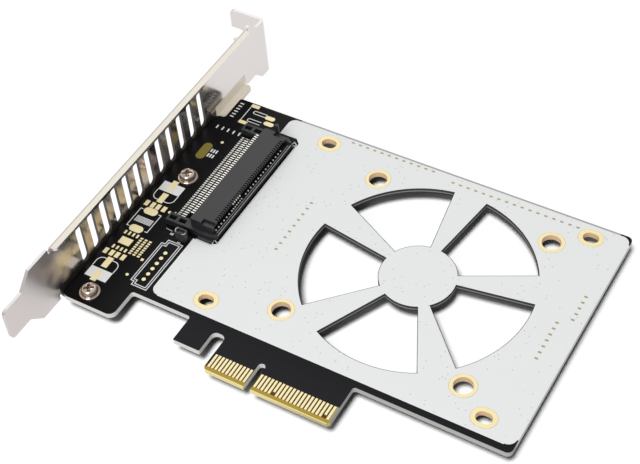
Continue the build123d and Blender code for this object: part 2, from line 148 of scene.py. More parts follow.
def grid_object(name, grids, material, smooth=True):
    """One object from closed surfaces whose grids have one size."""
    return place_piece(name, grid_mesh(name, grids, smooth), material)


def joined(name, surfaces, material):
    """One flat-shaded object from several sets of surfaces whose grids differ in size."""
    work = bmesh.new()
    for grids in surfaces:
        part = grid_mesh(name, grids, False)
        work.from_mesh(part)
        bpy.data.meshes.remove(part)
    mesh = bpy.data.meshes.new(name)
    work.to_mesh(mesh)
    work.free()
    return place_piece(name, mesh, material)


def copies(one, places):
    """The grid of one surface, repeated at each place (x, y)."""
    spots = np.c_[np.asarray(places, float), np.zeros(len(places))]
    return one[None] + spots[:, None, None, :]


def stacked_outlines(stations, places, corner_points=3):
    """Loft through rounded rectangles. A station is (half length, half width, corner radius,
    height); its outline is each corner's centre plus the radius times (cos t, sin t), with t
    running once round. The loft is repeated at each place (x, y)."""
    stations = np.asarray(stations, float)
    quarter = np.linspace(0, np.pi / 2, corner_points)
    angle = (np.arange(4)[:, None] * np.pi / 2 + quarter).ravel()
    side_x = np.repeat([1, -1, -1, 1], corner_points)
    side_y = np.repeat([1, 1, -1, -1], corner_points)
    half_x, half_y, radius, height = (stations[:, i, None] for i in range(4))
    x = side_x * (half_x - radius) + radius * np.cos(angle)
    y = side_y * (half_y - radius) + radius * np.sin(angle)
    return copies(np.stack([x, y, np.broadcast_to(height, x.shape)], axis=-1), places)


def plate(length, width, radius, base, top, edge):
    """Stations of a thin plate: flat underside, upright edge, rounded rim and level top. The rim
    starts 0.35 of the thickness under the top and reaches inward by the edge."""
    half_x, half_y = length / 2, width / 2
    rim = min(edge, radius) if radius > 0 else 0
    turn = rim * 0.3
    shoulder = top - (top - base) * 0.35
    return [
        (0, 0, 0, base),
        (half_x, half_y, radius, base),
        (half_x, half_y, radius, shoulder),
        (half_x - turn, half_y - turn, radius - turn, top - (top - shoulder) * 0.3),
        (half_x - rim, half_y - rim, radius - rim, top),
        (0, 0, 0, top),
    ]


def carried_strip(path, width, base, top):
    """Rectangle carried along a path of (x, y) points, mitred where the path turns: at each
    point the two sides stand half a width away along the mitre of the runs that meet there."""
    path = np.asarray(path, float)
    runs = np.diff(path, axis=0)
    runs /= np.linalg.norm(runs, axis=1, keepdims=True)
    before = np.vstack([runs[:1], runs])
    after = np.vstack([runs, runs[-1:]])
    bisector = before + after
    bisector /= np.linalg.norm(bisector, axis=1, keepdims=True)
    side = np.stack([-bisector[:, 1], bisector[:, 0]], axis=1)
    sharpest = 0.3
    stretch = 1 / np.maximum(np.sum(bisector * after, axis=1, keepdims=True), sharpest)
    reach = side * stretch * width / 2
    left, right = path + reach, path - reach
    low, high = np.full((len(path), 1), base), np.full((len(path), 1), top)
    section = np.stack(
        [np.c_[right, low], np.c_[right, high], np.c_[left, high], np.c_[left, low]], axis=1
    )
    middle = (base + top) / 2
    first = np.broadcast_to([*path[0], middle], (1, 4, 3))
    last = np.broadcast_to([*path[-1], middle], (1, 4, 3))
    return np.concatenate([first, section, last])[None]


def arc(centre, radius, start, end, count=8):
    """Points on a circle from one angle to another, in degrees."""
    angle = np.radians(np.linspace(start, end, count))
    return [(centre[0] + radius * np.cos(a), centre[1] + radius * np.sin(a)) for a in angle]


# ---- shader maths ----


class Value:
    """Output socket of a finish. Sums, products and comparisons of it add Math nodes."""

    def __init__(self, finish, socket):
        self.finish = finish
        self.socket = socket

    def maths(self, operation, *others):
        return self.finish.node("ShaderNodeMath", {"operation": operation}, (self, *others))

    def __add__(self, other):
        return self.maths("ADD", other)

    def __sub__(self, other):
        return self.maths("SUBTRACT", other)

    def __rsub__(self, other):
        return self.finish.node("ShaderNodeMath", {"operation": "SUBTRACT"}, (other, self))

    def __mul__(self, other):
        return self.maths("MULTIPLY", other)

    def __lt__(self, other):
        return self.maths("LESS_THAN", other)

    def __gt__(self, other):
        return self.maths("GREATER_THAN", other)

    def __abs__(self):
        return self.maths("ABSOLUTE")

    def wave(self):
        return self.maths("SINE")

    def either(self, other):
        return self.maths("MAXIMUM", other)

    def spread(self, low, high):
        """0 below low, 1 above high, and even in between."""
        ends = {"Value": self, "From Min": low, "From Max": high}
        return self.finish.node("ShaderNodeMapRange", {"clamp": True}, ends)


class Finish:
    """A material and the nodes that colour it."""

    def __init__(self, name):
        self.material = bpy.data.materials.new(name)
        self.material.use_nodes = True
        self.tree = self.material.node_tree
        self.tree.nodes.clear()
        place = self.node("ShaderNodeTexCoord", {}, {}, "Object")
        moved = self.vector("SUBTRACT", place, tuple(CARD_ORIGIN))
        scaled_up = {"Vector": moved, "Scale": 1 / MM}
        self.place = self.node("ShaderNodeVectorMath", {"operation": "SCALE"}, scaled_up, "Vector")
        self.x, self.y, self.z = (
            self.node("ShaderNodeSeparateXYZ", {}, (self.place,), axis) for axis in "XYZ"
        )

    def node(self, kind, settings, values=(), output=0):
        """Adds a node: its settings, then values or links of its sockets, by place or name."""
        node = self.tree.nodes.new(kind)
        for key, setting in settings.items():
            setattr(node, key, setting)
        pairs = values.items() if isinstance(values, dict) else enumerate(values)
        for key, value in pairs:
            if isinstance(value, Value):
                self.tree.links.new(value.socket, node.inputs[key])
            else:
                node.inputs[key].default_value = value
        return Value(self, node.outputs[output]) if node.outputs else node

    def vector(self, operation, first, second):
        settings = {"operation": operation}
        return self.node("ShaderNodeVectorMath", settings, (first, second), "Vector")

    def mix(self, factor, first, second):
        """Colour that runs from the first to the second."""
        ends = [c if isinstance(c, Value) else (*c, 1) for c in (first, second)]
        return self.node(
            "ShaderNodeMix", {"data_type": "RGBA"}, {0: factor, 6: ends[0], 7: ends[1]}, 2
        )

    def noise(self, scale, detail, stretch=(1, 1, 1)):
        """Noise in card millimetres; the scale is its cells in a millimetre."""
        stretched = self.vector("MULTIPLY", self.place, stretch)
        values = {"Vector": stretched, "Scale": scale, "Detail": detail}
        return self.node("ShaderNodeTexNoise", {}, values, "Fac")

    def normal(self, axis):
        """One part of the direction that a face looks in."""
        normal = self.node("ShaderNodeNewGeometry", {}, (), "Normal")
        return self.node("ShaderNodeSeparateXYZ", {}, (normal,), axis)

    def facing(self):
        """How much a face looks up or down: 1 on level faces, 0 on walls."""
        return abs(self.normal("Z"))

    def relief(self, height, strength, distance=FINE_RELIEF):
        values = {"Height": height, "Strength": strength, "Distance": distance}
        return self.node("ShaderNodeBump", {}, values)

    def surface(self, **values):
        """Principled surface from named sockets, and the material's output."""
        named = {key.replace("_", " "): value for key, value in values.items()}
        shader = self.node("ShaderNodeBsdfPrincipled", {}, named)
        self.node("ShaderNodeOutputMaterial", {}, {"Surface": shader})
        return self.material


def near(value, middle, half):
    """1 where the value is within half a width of the middle."""
    return abs(value - middle) < half


def scaled(colour, share):
    """A darker or lighter colour: each part times the share."""
    return tuple(part * share for part in colour)


def board_finish(colours):
    """Dark mask on both faces, with faint copper runs under it, and pale glass layers on walls."""
    finish = Finish("solder_mask")
    x, y, z = finish.x, finish.y, finish.z
    grain = finish.noise(1.6, 3)
    fine = finish.noise(9.0, 2)

    toward_tongue = (-36.0 - y).spread(-6.0, 6.0) * (x > -45.0)
    mask = finish.mix(toward_tongue, colours.mask, colours.mask_tongue)
    mask = finish.mix(grain * 0.12, mask, scaled(colours.mask_tongue, 1.3))

    # Walls: glass layers, amber at the tongue's front; painted shade in the grille (one paler
    # line) and on the near side
    layers = (z * 22.0 + fine * 1.5).wave() * 0.5 + 0.5
    pale = finish.mix(layers, colours.board_wall, scaled(colours.board_wall, 0.86))
    amber = finish.mix(layers, colours.tongue_wall, scaled(colours.tongue_wall, 0.9))
    walls = finish.mix((y < BEVEL_FAR - 0.3) * (x > TONGUE_LEFT), pale, amber)
    off_x, off_y = x - FAN_CENTRE[0], y - FAN_CENTRE[1]
    grille = (off_x * off_x + off_y * off_y) < (GRILLE_RADIUS + 0.4) ** 2
    grille_shade = grille * (0.93 - near(z, -0.8, 0.14) * 0.4)
    front_shade = (1 - grille) * x.spread(-12.0, 4.0) * (y < -34.0) * 0.36
    walls = finish.mix(grille_shade + front_shade, walls, colours.mask)

    # Tongue: dark gaps with brown ends, a side strip, and the bare bevel
    side_strip = x > TONGUE_RIGHT - 0.42
    gaps = (y < FINGERS_FAR) * (x > GAPS_LEFT)
    bevel = (y < BEVEL_FAR) * (x > TONGUE_LEFT)
    bare = finish.mix(fine, colours.bevel, scaled(colours.bevel, 0.8))
    face = finish.mix(gaps, mask, colours.finger_gap)
    face = finish.mix((y < FINGERS_FAR) * side_strip, face, scaled(colours.tongue_wall, 0.4))
    face = finish.mix((y < BEVEL_FAR + 1.0) * gaps * (1 - side_strip), face, colours.gap_end)
    face = finish.mix(bevel, face, bare)
    face = finish.mix(bevel * (z < -0.16), face, amber)

    # White print that runs over the rim beside three of the field's straight edges
    right_rim = (x > 47.0) * near(y, INK_MIDDLE_Y, INK_STRAIGHT_Y)
    near_rim = near(y, -35.05, 0.22) * near(x, INK_MIDDLE_X, INK_STRAIGHT_X)
    far_rim = (y > 34.5) * near(x, INK_MIDDLE_X, INK_STRAIGHT_X - 0.8)
    overrun = right_rim.either(near_rim).either(far_rim * 0.45) * (z > -0.3)
    face = finish.mix(overrun, face, colours.ink)

    runs = ((x * 3.1 + (y * 0.35).wave() * 2.0).wave() > 0.55) * (y < -36.0)
    runs = runs.either(((y * 3.9).wave() > 0.5) * near(x, -60.0, 4.0))
    wall = 1 - finish.facing().spread(0.5, 0.9)
    height = runs * 0.6 + grain * 0.2 + fine * 0.08
    return finish.surface(
        Base_Color=finish.mix(wall, face, walls),
        Roughness=grain * 0.1 + 0.3 + wall * 0.35,
        Normal=finish.relief(height * (1 - wall), 0.35),
        Specular_IOR_Level=0.1,
    )


def ink_finish(colours):
    """Matt printed white, a little uneven, with sparse grey specks where vias lie under it."""
    finish = Finish("white_ink")
    cloud = finish.noise(0.09, 4)
    fine = finish.noise(7.0, 3)
    light = colours.ink
    cells = {"Vector": finish.place, "Scale": 0.36}
    settings = {"voronoi_dimensions": "2D"}
    from_speck = finish.node("ShaderNodeTexVoronoi", settings, cells, "Distance")
    sparse = finish.noise(0.11, 1) > 0.52
    specks = (1 - from_speck.spread(0.035, 0.075)) * sparse * (finish.x > -50.0)
    colour = finish.mix(cloud * 0.5 + fine * 0.2, light, scaled(light, 0.96))
    colour = finish.mix(specks * 0.6, colour, colours.speck)
    return finish.surface(
        Base_Color=colour,
        Roughness=fine * 0.15 + 0.5,
        Normal=finish.relief(fine + cloud - specks, 0.2),
        Specular_IOR_Level=0.3,
    )


def gold_finish(colours, name="gold", strength=1.0):
    """Plated satin gold with ripples, a paler bloom, copper-brown hole walls and painted light."""
    finish = Finish(name)
    ripple = finish.noise(2.4, 3)
    bloom = finish.noise(0.5, 3)
    light = scaled(colours.gold, strength)
    colour = finish.mix(bloom, light, (light[0], light[1] * 0.96, light[2] * 0.86))
    # Painted light: toward the bracket the plating is paler and less metallic, lifting it out of
    # the bracket's shade
    pale = finish.x < -50.0
    colour = finish.mix(pale, colour, colours.gold_painted_light)
    hole_wall = (1 - finish.facing().spread(0.3, 0.7)) * (finish.x > -45.0) * (finish.y > -42.0)
    colour = finish.mix(hole_wall, colour, colours.copper)
    return finish.surface(
        Base_Color=colour,
        Metallic=0.3 - (hole_wall * 0.3).either(pale * 0.25),
        Roughness=ripple * 0.1 + 0.3,
        Normal=finish.relief(ripple, 0.15),
    )


def dull_gold_finish(colours):
    """The same gold, dull with age, for the small rows of pads on the print."""
    return gold_finish(colours, "dull_gold", 0.42)


def plastic_finish(colours):
    """Moulded dark plastic with a fine spark-eroded grain and slightly paler flow clouds."""
    finish = Finish("housing")
    grain = finish.noise(11.0, 3)
    flow = finish.noise(0.8, 3, (0.3, 1.0, 1.0))
    dark = colours.plastic
    colour = finish.mix(flow * 0.7 + grain * 0.3, dark, scaled(dark, 1.35))
    return finish.surface(
        Base_Color=colour,
        Roughness=grain * 0.12 + 0.36,
        Normal=finish.relief(grain, 0.2),
        Specular_IOR_Level=0.6,
    )


def tinned_finish(colours):
    """Drawn and tinned lead metal, with streaks along its length."""
    finish = Finish("lead_metal")
    streak = finish.noise(3.0, 3, (0.25, 3.0, 1.0))
    light = colours.tin
    colour = finish.mix(streak, light, scaled(light, 0.82))
    shade = 1 - finish.facing().spread(0.1, 0.5)
    for middle, half in LEAD_SHADES:
        shade = shade.either(near(finish.x, middle, half))
    colour = finish.mix(shade * near(finish.y, 6.0, 18.0) * 0.9, colour, colours.lead_shade)
    return finish.surface(
        Base_Color=colour,
        Metallic=1.0,
        Roughness=streak * 0.12 + 0.2,
        Normal=finish.relief(streak, 0.15),
    )


def nickel_finish(colours):
    """Satin nickel with roll marks, and painted light, shade and warm reflections."""
    finish = Finish("bracket_steel")
    x, y, z = finish.x, finish.y, finish.z
    roll = finish.noise(1.2, 2, (1.0, 0.12, 2.0))
    across = finish.normal("X")

    # Painted warm reflections lie on the inner face at the vents' height, fewer toward the far end
    cloud = finish.noise(0.15, 1).spread(0.4, 0.6) * 0.9 + 0.1
    inner = (across > 0.5) * y.spread(-51.0, -43.0) * (1 - y.spread(24.0, 30.0))
    vents = inner * z.spread(0.8, 3.0) * (1 - z.spread(9.5, 13.0))
    warm_reflection_share = cloud * vents * (1 - y.spread(-10.0, 4.0) * 0.75)
    colour = finish.mix(warm_reflection_share, colours.nickel, colours.reflection_warm_colour)
    colour = finish.mix(roll * 0.06, colour, scaled(colours.nickel, 0.8))
    # Painted shade: the bracket's near end is darker
    colour = finish.mix(1 - y.spread(-52.0, -42.0), colour, colours.nickel_shade_end)

    # Painted light: faces that look up or down, the sheet's cut edges and its flanges, are paler
    # and less metallic
    flange = finish.facing().spread(0.6, 0.9)
    colour = finish.mix(flange, colour, colours.level_face_light)
    colour = finish.mix(flange * near(y, 0.75, 45.4), colour, colours.flange_light)

    # Foot of the bracket: painted light at its far end, painted shade where the board shades it
    foot = (z < 2.0) * (x > -74.6)
    bright = foot * (y > 27.5) * (y < 43.0)
    dark = foot * near(y, -9.0, 36.4) * (z < 1.2)
    colour = finish.mix(bright, colour, colours.far_flange_light)
    colour = finish.mix(dark, colour, colours.slot_and_foot_shade)

    # Painted shade on the walls of the vents
    slot_wall = (abs(across) < 0.5) * near(y, *VENTS_Y) * near(z, *VENTS_Z) * (x < -72.9)
    colour = finish.mix(slot_wall * 0.9, colour, colours.slot_and_foot_shade)
    matt = (warm_reflection_share * 0.85).either(flange * 0.6).either(bright * 0.9).either(dark * 0.6)
    near_end = 1 - y.spread(-48.0, -38.0)
    return finish.surface(
        Base_Color=colour,
        Metallic=1 - matt,
        Roughness=roll * 0.04 + 0.16 + slot_wall * 0.35 + near_end * 0.16,
        Normal=finish.relief(roll, 0.03, SHEET_RELIEF),
    )


def screw_finish(colours):
    """Bright warm plating on the screws and washers, with painted shade in the recess and skirt.
    """
    finish = Finish("screw_steel")
    fine = finish.noise(1.5, 2)
    light = colours.screw
    colour = finish.mix(fine, light, scaled(light, 0.8))
    (near_x, near_y), (_, far_y) = SCREW_PLACES
    off_x = finish.x - near_x
    off_y = finish.y - near_y - (finish.y > -20.0) * (far_y - near_y)
    square = off_x * off_x + off_y * off_y
    # Painted shade: the cross recess and a ring round the head's skirt darken toward the recess
    # colour
    recess = (1 - finish.z.spread(1.45, 1.75)) * (square < 2.4) * (square > 0.08)
    brim = (square > 3.5) * (square < 5.2) * (finish.z > 0.5)
    colour = finish.mix(recess.either(brim * 0.8) * 0.9, colour, colours.recess)
    return finish.surface(
        Base_Color=colour,
        Metallic=0.75,
        Roughness=fine * 0.06 + 0.12,
        Normal=finish.relief(fine, 0.1),
    )


def laminate_finish(colours):
    """Bare glass laminate seen through an opening in the mask."""
    finish = Finish("laminate")
    weave = (finish.x * 9.0).wave() * (finish.y * 9.0).wave() * 0.5 + 0.5
    dark = colours.laminate
    return finish.surface(
        Base_Color=finish.mix(weave * 0.4, dark, scaled(dark, 0.7)),
        Roughness=weave * 0.1 + 0.45,
        Normal=finish.relief(weave, 0.2),
    )


def grained_finish(name, colour, share, noise, roughness, metallic=0.0, swing=0.1, relief=0.1):
    """A colour whose grain runs toward a share of it, and roughens and lifts the surface."""
    finish = Finish(name)
    grain = finish.noise(*noise)
    return finish.surface(
        Base_Color=finish.mix(grain, colour, scaled(colour, share)),
        Metallic=metallic,
        Roughness=grain * swing + roughness,
        Normal=finish.relief(grain, relief),
    )


def body_finish(colours):
    """Dark moulded body of the small part."""
    return grained_finish("small_body", colours.body, 1.5, (6.0, 2), 0.3)


def highlight_and_pad_grey_finish(colours):
    """Pale grey for painted highlights on the socket's lip and for the small part's lead and pads.
    """
    return grained_finish("pale_grey_highlight_and_pads", colours.rim, 0.7, (4.0, 2), 0.3)


def contact_finish(colours):
    """Plated contacts as they look in the shade of the socket, drawn lengthwise."""
    drawn = (3.0, 3, (0.25, 3.0, 1.0))
    return grained_finish("contact_metal", colours.shaded, 0.7, drawn, 0.3, 1.0, 0.12, 0.15)


def tin_and_highlight_finish(colours):
    """Bright white: painted highlights on tips and rims, and solder beads with painted highlight.
    """
    return grained_finish("painted_highlight_and_tin", colours.tip, 0.85, (5.0, 2), 0.25, 0.15)


FINISHES = {}
MAKERS = {
    "board": board_finish,
    "ink": ink_finish,
    "gold": gold_finish,
    "dull_gold": dull_gold_finish,
    "plastic": plastic_finish,
    "tin": tinned_finish,
    "nickel": nickel_finish,
    "screw": screw_finish,
    "laminate": laminate_finish,
    "body": body_finish,
    "rim": highlight_and_pad_grey_finish,
    "contact": contact_finish,
    "tip": tin_and_highlight_finish,
}


def finish_for(context, kind):
    """The finish of one kind, made the first time that it is asked for."""
    if kind not in FINISHES:
        FINISHES[kind] = MAKERS[kind](context.scene.card_colours)
    return FINISHES[kind]


def dress(context, kind, *nodes):
    """Gives carried solids their finish."""
    material = finish_for(context, kind)
    for name in nodes:
        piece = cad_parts[name]
        piece.data.materials.clear()
        piece.data.materials.append(material)


# ---- sizes and colours that a user would change ----


def length_property(name, description, default):
    return FloatProperty(name=name, description=description, default=default, min=0, precision=3)


def colour_property(name, description, default):
    return FloatVectorProperty(
        name=name, description=description, default=default, subtype="COLOR", size=3, min=0, max=1
    )


class CardSizes(bpy.types.PropertyGroup):
    """Sizes of the small pieces, in millimetres."""

    print_height: length_property("Print height", "How high the white print stands, in mm", 0.02)
    line_width: length_property("Line width", "Width of the printed lines, in mm", 0.24)
    pad_height: length_property("Pad height", "How high a plated pad stands, in mm", 0.05)
    bead_width: length_property("Lead bead", "Width of a solder bead at a lead's toe, in mm", 0.42)
    tip_radius: length_property("Contact tip", "Radius of a contact's rounded tip, in mm", 0.25)
    # The socket's lip strips are painted highlights: their width
    edge_width: length_property("Lip highlight", "Width of the painted highlights on the socket's lip, in mm", 0.14)
    part_height: length_property("Small part", "Height of the small dark part, in mm", 3.0)
    screw_head: length_property("Screw head", "Diameter of a bracket screw's head, in mm", 4.5)
    screw_dome: length_property("Screw height", "Height of the head over its washer, in mm", 1.65)
    washer_diameter: length_property("Washer", "Diameter of the washer, in mm", 5.4)
    washer_thickness: length_property("Washer thickness", "Thickness of the washer, in mm", 0.5)
    round_points: IntProperty(
        name="Round corners", description="Points on a quarter of a small round", default=6, min=2
    )


class CardColours(bpy.types.PropertyGroup):
    """Colours of the card's finishes."""

    mask: colour_property("Mask", "Dark mask on the board", (0.003, 0.003, 0.0035))
    mask_tongue: colour_property("Tongue mask", "Mask toward the tongue", (0.012, 0.012, 0.015))
    finger_gap: colour_property("Finger gap", "Board between the fingers", (0.006, 0.004, 0.001))
    gap_end: colour_property("Gap end", "Bare brown end of a finger gap", (0.12, 0.05, 0.012))
    board_wall: colour_property("Board wall", "Cut walls of the board", (0.85, 0.85, 0.82))
    tongue_wall: colour_property("Tongue wall", "Front wall of the tongue", (0.97, 0.84, 0.42))
    bevel: colour_property("Bevel", "Bare sloped edge of the tongue", (0.46, 0.33, 0.05))
    laminate: colour_property("Laminate", "Bare glass laminate", (0.24, 0.19, 0.015))
    ink: colour_property("Print", "White print", (0.86, 0.87, 0.87))
    speck: colour_property("Speck", "Vias under the print", (0.30, 0.31, 0.31))
    gold: colour_property("Gold", "Plated gold", (0.93, 0.81, 0.47))
    # Painted light on the plating toward the bracket
    gold_painted_light: colour_property("Pale gold", "Plating toward the bracket", (1.0, 0.88, 0.52))
    copper: colour_property("Copper", "Copper-brown walls of the plated holes", (0.90, 0.67, 0.43))
    plastic: colour_property("Plastic", "Socket housing", (0.013, 0.0135, 0.0155))
    # Pale grey of the painted highlights on the socket's lip, and of the small part's lead and
    # pads
    rim: colour_property("Edge", "Painted highlights on the socket's lip, and the small part's pads", (0.62, 0.62, 0.63))
    shaded: colour_property("Contact", "Contacts inside the socket", (0.20, 0.15, 0.07))
    # White of the painted highlights on contact tips and the small part, and of the solder beads
    tip: colour_property("Tip", "Bright contact tips and beads", (0.92, 0.91, 0.86))
    lead_shade: colour_property("Lead shade", "Shaded bands on the leads", (0.03, 0.03, 0.03))
    tin: colour_property("Tin", "Leads of the socket", (0.88, 0.85, 0.80))
    nickel: colour_property("Nickel", "Bracket plating", (0.69, 0.655, 0.64))
    reflection_warm_colour: colour_property("Warm reflection", "Painted warm reflections on the plating", (0.96, 0.74, 0.44))
    # Painted shade on the bracket's near end
    nickel_shade_end: colour_property("Near end", "Bracket's near end", (0.585, 0.54, 0.53))
    # Painted light on the bracket's level faces and cut edges
    level_face_light: colour_property("Cut edge", "Cut edges of the bracket's sheet", (0.80, 0.76, 0.74))
    # Painted light on the far end of the low flange
    far_flange_light: colour_property("Flange end", "Far end of the low flange", (0.98, 0.90, 0.78))
    # Painted light on the bracket's flanges
    flange_light: colour_property("Flange", "Turned edges of the bracket", (0.72, 0.675, 0.59))
    # Painted shade on the vents' walls and on the foot under the board
    slot_and_foot_shade: colour_property("Slot and foot shade", "Walls of the bracket's slots", (0.05, 0.04, 0.035))
    screw: colour_property("Screw", "Screw plating", (0.94, 0.81, 0.71))
    # Painted shade in the screws' recess and round their heads
    recess: colour_property("Recess", "Depth of the screws' cross", (0.10, 0.05, 0.025))
    body: colour_property("Part body", "Body of the small part", (0.016, 0.016, 0.017))


class StudioSettings(bpy.types.PropertyGroup):
    """Floor and lamps."""

    floor_size: FloatProperty(
        name="Floor", description="Side of the floor", default=6.0, unit="LENGTH", min=1
    )
    floor_shade: FloatProperty(name="Floor shade", description="Floor's grey", default=0.07, min=0)
    floor_seen: FloatProperty(
        name="Seen floor", description="Floor's grey as the camera sees it", default=0.16, min=0
    )
    floor_power: FloatProperty(
        name="Floor lamp", description="Lamp for the floor alone", default=400, unit="POWER", min=0
    )
    key_power: FloatProperty(name="Key", description="Key lamp", default=6.6, unit="POWER", min=0)
    back_power: FloatProperty(
        name="Back", description="Back lamp", default=2.3, unit="POWER", min=0
    )
    room: FloatProperty(name="Room", description="Strength of the pale room", default=0.5, min=0)


# ---- operators ----


class CARD_OT_dress_board(bpy.types.Operator):
    """Give the board, its white field and all plated nodes their finishes"""

    bl_idname = "card.dress_board"
    bl_label = "Dress board and gold"

    def execute(self, context):
        dress(context, "board", "circuit_board")
        dress(context, "ink", "white_ink_field")
        dress(context, "gold", "edge_fingers_top", "edge_fingers_bottom", "drive_hole_rings")
        dress(context, "gold", "fan_hole_rings", "marker_pads", "capacitor_pads", "small_pads")
        dress(context, "gold", "inductor_pads", "chip_heat_pad", "chip_pin_pads", "header_pads")
        return {"FINISHED"}


class CARD_OT_dress_socket(bpy.types.Operator):
    """Give the drive socket, its leads and its contacts their finishes"""

    bl_idname = "card.dress_socket"
    bl_label = "Dress socket"

    def execute(self, context):
        dress(context, "plastic", "connector_housing")
        dress(context, "tin", "connector_leads")
        dress(context, "contact", "upper_contacts", "lower_contacts")
        return {"FINISHED"}


class CARD_OT_dress_bracket(bpy.types.Operator):
    """Give the folded bracket its plating"""

    bl_idname = "card.dress_bracket"
    bl_label = "Dress bracket"

    def execute(self, context):
        dress(context, "nickel", "bracket")
        return {"FINISHED"}


class CARD_OT_make_round_pads(bpy.types.Operator):
    """Make the round, oval and square plated pads, and the rows of small marks on the white"""

    bl_idname = "card.make_round_pads"
    bl_label = "Make round pads"

    def execute(self, context):
        sizes = context.scene.card_sizes
        gold = finish_for(context, "gold")
        dull = finish_for(context, "dull_gold")
        high = sizes.pad_height
        points = sizes.round_points
        test_size, dot_size, rim = 1.1, 0.9, 0.1
        test = plate(test_size, test_size, test_size / 2, 0.0, high, rim)
        places = [(-56.3, y) for y in np.linspace(-32.4, -22.6, 6)]
        grid_object("test_pad_row", stacked_outlines(test, places, points), gold)
        oval = plate(3.1, 1.5, 0.75, 0.0, high, rim)
        places = [(-58.1, 32.1), (-57.3, 30.0)]
        grid_object("oval_pads", stacked_outlines(oval, places, 8), gold)
        dot = plate(dot_size, dot_size, dot_size / 2, 0.0, high, rim)
        places = [(-61.05, -33.0), (-65.1, 18.2), (-63.4, -10.2)]
        grid_object("test_dots", stacked_outlines(dot, places, points), gold)
        square = plate(0.8, 0.8, 0.08, 0.0, high, 0.05)
        grid_object("square_pad", stacked_outlines(square, [(-60.42, -27.18)]), gold)
        within_ink = 0.03
        mark = plate(0.9, 0.55, 0.05, within_ink, within_ink + high, 0.03)
        # Rows of marks: first place, last place and count
        rows = [
            ((-31.4, -8.5), (-31.4, 9.5), 9),
            ((-32.5, 34.0), (-8.0, 34.0), 12),
            ((-1.5, 32.6), (34.0, 32.6), 17),
            ((41.8, -10.0), (41.8, 2.0), 7),
            ((44.8, 4.5), (44.8, 12.5), 5),
        ]
        marks = np.concatenate([np.linspace(start, end, count) for start, end, count in rows])
        grid_object("white_field_marks", stacked_outlines(mark, marks, 2), dull, False)
        return {"FINISHED"}


class CARD_OT_make_lead_joints(bpy.types.Operator):
    """Make the solder beads at the toes of the socket's leads, bright white with painted highlight
    """

    bl_idname = "card.make_lead_joints"
    bl_label = "Make lead joints"

    def execute(self, context):
        low, high = (from_frame(corner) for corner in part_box("connector_leads"))
        half = context.scene.card_sizes.bead_width / 2
        half_lead = 0.18
        rows = np.linspace(low[1] + half_lead, high[1] - half_lead, LEAD_COUNT)
        places = [(low[0] - 0.05, y) for y in rows]
        # A mound that narrows as it rises: half length, half width, corner radius, height
        bead = [
            (0, 0, 0, 0.0),
            (0.4, half, half, 0.0),
            (0.4, half, half, 0.12),
            (0.33, half * 0.8, half * 0.8, 0.26),
            (0.15, half * 0.4, half * 0.4, 0.33),
            (0, 0, 0, 0.35),
        ]
        # Real solder beads, whose bright white finish also paints their highlight
        tin = finish_for(context, "tip")
        grid_object("solder_beads_with_highlight", stacked_outlines(bead, places, 4), tin)
        return {"FINISHED"}


class CARD_OT_make_contact_tips(bpy.types.Operator):
    """Make bright domes on the lower and upper contacts, painted highlights where they catch light
    """

    bl_idname = "card.make_contact_tips"
    bl_label = "Make contact tips"

    def execute(self, context):
        tin = finish_for(context, "tip")
        radius = context.scene.card_sizes.tip_radius
        contact_top = 1.5
        # A dome: at each angle t up from its rim, the ring's radius is r cos t and its height is
        # r sin t over the contact.
        rise = np.linspace(0, np.pi / 2, 6)[:-1]
        rings = zip(radius * np.cos(rise), radius * np.sin(rise))
        dome = [(ring, ring, ring, contact_top + height) for ring, height in rings]
        stations = [(0, 0, 0, contact_top), *dome, (0, 0, 0, contact_top + radius)]
        pitch, close_pitch = 1.27, 0.8
        wide = [-11.05 + pitch * i for i in range(7)] + [3.4 + pitch * i for i in range(15)]
        close = [-2.6 + close_pitch * i for i in range(6)]
        places = [(-47.95, y) for y in wide + close]
        grid_object("contact_tip_highlights", stacked_outlines(stations, places, 4), tin)
        long_tip = plate(1.0, 0.36, 0.17, 3.4, 3.75, 0.1)
        places = [(-48.05, -2.65 + close_pitch * i) for i in range(5)]
        grid_object("long_tip_highlights", stacked_outlines(long_tip, places, 4), tin)
        return {"FINISHED"}


class CARD_OT_make_socket_edges(bpy.types.Operator):
    """Make the two thin pale strips along the socket's front lip, painted highlights on its edges
    """

    bl_idname = "card.make_socket_edges"
    bl_label = "Make socket edges"

    def execute(self, context):
        width = context.scene.card_sizes.edge_width
        rim = finish_for(context, "rim")
        lip_top = 1.3
        outer_x, inner_x, inset = -46.68, -47.3, 0.9
        low_y, high_y = -12.6, 24.9
        outer = [(outer_x, low_y), (outer_x, high_y)]
        inner = [(inner_x, low_y + inset), (inner_x, high_y - inset)]
        lines = [
            carried_strip(outer, width, lip_top, lip_top + 0.04),
            carried_strip(inner, width * 0.8, lip_top, lip_top + 0.03),
        ]
        joined("socket_edge_highlights", lines, rim)
        return {"FINISHED"}


